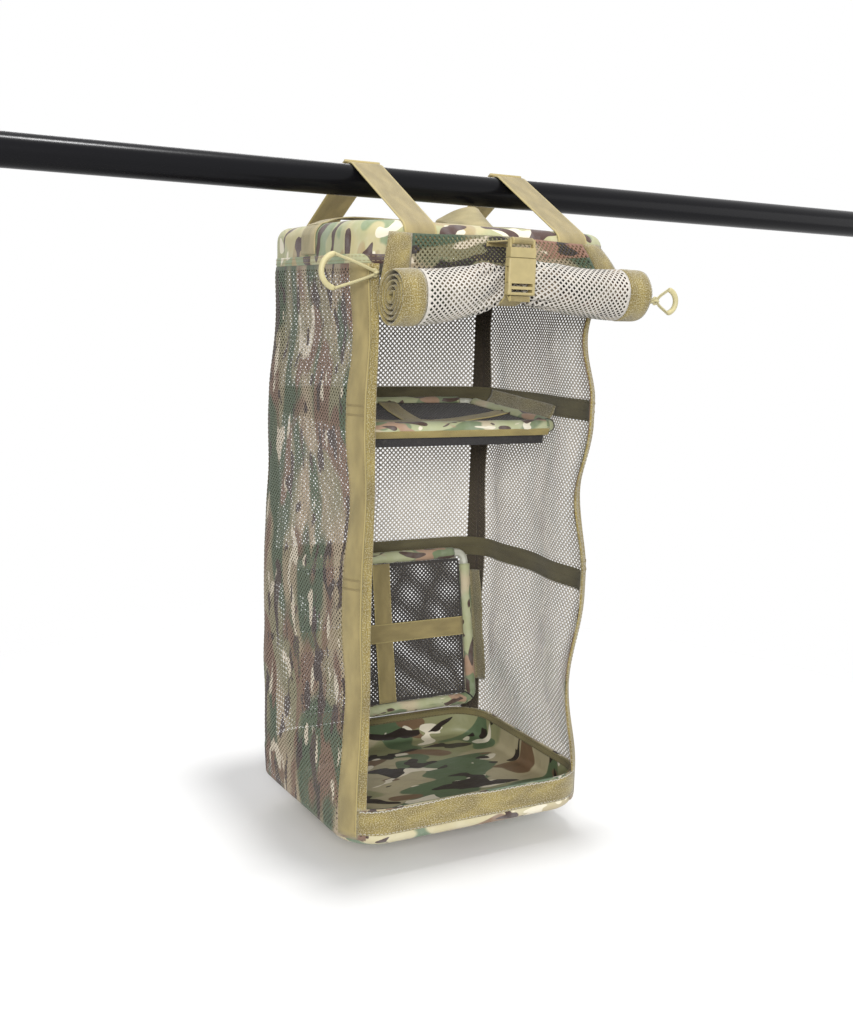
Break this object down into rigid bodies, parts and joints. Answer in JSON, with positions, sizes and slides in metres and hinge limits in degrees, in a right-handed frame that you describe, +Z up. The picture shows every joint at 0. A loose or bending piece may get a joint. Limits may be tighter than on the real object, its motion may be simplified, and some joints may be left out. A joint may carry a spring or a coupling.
{
  "type": "hanging mesh storage shelf",
  "caption": "Hanging fabric shelf organiser: padded cap and tray joined by mesh walls, fold-down shelves inside, rolled-up mesh door held by a buckled strap, straps to hang it.",
  "frame": {"origin": "the axis of the bar that the two straps hang from, midway between them", "axes": "+Z up, the open front faces -Y, +X to the right of someone facing the back from the front"},
  "size_m": [0.4067, 0.3475, 0.7568],
  "materials": {
    "camo_fabric": "woven nylon, printed camouflage",
    "mesh_fabric": "knitted mesh, camouflage print outside and pale inside",
    "khaki_webbing": "ribbed nylon webbing",
    "loop_tape": "fuzzy loop tape",
    "black_hook_tape": "hook tape",
    "camo_laminate": "smooth laminated liner, printed camouflage",
    "khaki_plastic": "moulded acetal",
    "stiffener_board": "sheet",
    "glass_fibre_rod": "pultruded rod",
    "pull_cord": "braided cord with a moulded grip"
  },
  "bodies": {
    "shelf_body": {"back_mesh_panel": "mesh_fabric", "bottom_door_tape": "loop_tape", "buckle_socket": "khaki_plastic", "cap_board": "stiffener_board", "cap_shell": "camo_fabric", "carry_handle": "khaki_webbing", "door_mesh_roll": "mesh_fabric", "left_back_webbing": "khaki_webbing", "left_door_tape": "loop_tape", "left_edge_loop_tape": "loop_tape", "left_front_webbing": "khaki_webbing", "left_hanging_strap": "khaki_webbing", "left_mesh_panel": "mesh_fabric", "lip_loop_tape": "loop_tape", "lower_wall_band": "khaki_webbing", "retainer_strap_lower": "khaki_webbing", "retainer_strap_upper": "khaki_webbing", "right_back_webbing": "khaki_webbing", "right_door_tape": "loop_tape", "right_edge_loop_tape": "loop_tape", "right_front_webbing": "khaki_webbing", "right_hanging_strap": "khaki_webbing", "right_mesh_panel": "mesh_fabric", "tray_board": "stiffener_board", "tray_liner": "camo_laminate", "tray_rim_binding": "khaki_webbing", "tray_shell": "camo_fabric", "upper_wall_band": "khaki_webbing"},
    "upper_shelf": {"upper_shelf_corner_loop": "black_hook_tape", "upper_shelf_front_sleeve": "camo_fabric", "upper_shelf_hook_strip": "black_hook_tape", "upper_shelf_left_flap": "loop_tape", "upper_shelf_left_sleeve": "camo_fabric", "upper_shelf_mesh": "mesh_fabric", "upper_shelf_rear_sleeve": "camo_fabric", "upper_shelf_right_flap": "loop_tape", "upper_shelf_right_sleeve": "camo_fabric", "upper_shelf_rod": "glass_fibre_rod", "upper_shelf_webbing_cross": "khaki_webbing"},
    "lower_shelf": {"lower_shelf_corner_loop": "black_hook_tape", "lower_shelf_front_sleeve": "camo_fabric", "lower_shelf_hook_strip": "black_hook_tape", "lower_shelf_left_flap": "loop_tape", "lower_shelf_left_sleeve": "camo_fabric", "lower_shelf_mesh": "mesh_fabric", "lower_shelf_rear_sleeve": "camo_fabric", "lower_shelf_right_flap": "loop_tape", "lower_shelf_right_sleeve": "camo_fabric", "lower_shelf_rod": "glass_fibre_rod", "lower_shelf_webbing_cross": "khaki_webbing"},
    "plug": {"buckle_plug": "khaki_plastic", "retainer_strap_loop": "khaki_webbing"},
    "left_prong": {"left_buckle_prong": "khaki_plastic"},
    "right_prong": {"right_buckle_prong": "khaki_plastic"},
    "left_slider": {"left_strap_slider": "khaki_plastic"},
    "right_slider": {"right_strap_slider": "khaki_plastic"},
    "left_pull": {"left_pull_cord": "pull_cord", "left_pull_grip": "pull_cord"},
    "right_pull": {"right_pull_cord": "pull_cord", "right_pull_grip": "pull_cord"}
  },
  "joints": [
    {"name": "upper_shelf_fold", "type": "hinge", "parent": "shelf_body", "child": "upper_shelf", "pos_m": [0, 0.1287, -0.26], "axis": [1, 0, 0], "range_deg": [-3.5, 72]},
    {"name": "lower_shelf_fold", "type": "hinge", "parent": "shelf_body", "child": "lower_shelf", "pos_m": [0, 0.1287, -0.465], "axis": [1, 0, 0], "range_deg": [-80, 0]},
    {"name": "buckle_plug_slide", "type": "slide", "parent": "shelf_body", "child": "plug", "axis": [0, 0, 1], "range_m": [0, 0.03]},
    {"name": "left_prong_squeeze", "type": "hinge", "parent": "plug", "child": "left_prong", "pos_m": [-0.016, -0.19662, -0.0847], "axis": [0, 1, 0], "range_deg": [-8, 0], "stiffness_Nm_per_rad": 0.06},
    {"name": "right_prong_squeeze", "type": "hinge", "parent": "plug", "child": "right_prong", "pos_m": [0.002, -0.19662, -0.0847], "axis": [0, 1, 0], "range_deg": [0, 8], "stiffness_Nm_per_rad": 0.06},
    {"name": "left_slider_slide", "type": "slide", "parent": "shelf_body", "child": "left_slider", "axis": [0, 0.878, -0.4786], "range_m": [0, 0.07]},
    {"name": "right_slider_slide", "type": "slide", "parent": "shelf_body", "child": "right_slider", "axis": [0, 0.878, -0.4786], "range_m": [0, 0.07]},
    {"name": "left_pull_swing", "type": "hinge", "parent": "shelf_body", "child": "left_pull", "pos_m": [-0.1439, -0.13743, -0.105], "axis": [0, 1, 0], "range_deg": [-35, 45]},
    {"name": "right_pull_swing", "type": "hinge", "parent": "shelf_body", "child": "right_pull", "pos_m": [0.1688, -0.1993, -0.123], "axis": [0, 1, 0], "range_deg": [-45, 45]}
  ],
  "couplings": [
    {"joint": "left_prong_squeeze", "follows": "buckle_plug_slide", "rad_per_m": -4.6542},
    {"joint": "right_prong_squeeze", "follows": "buckle_plug_slide", "rad_per_m": 4.6542}
  ]
}
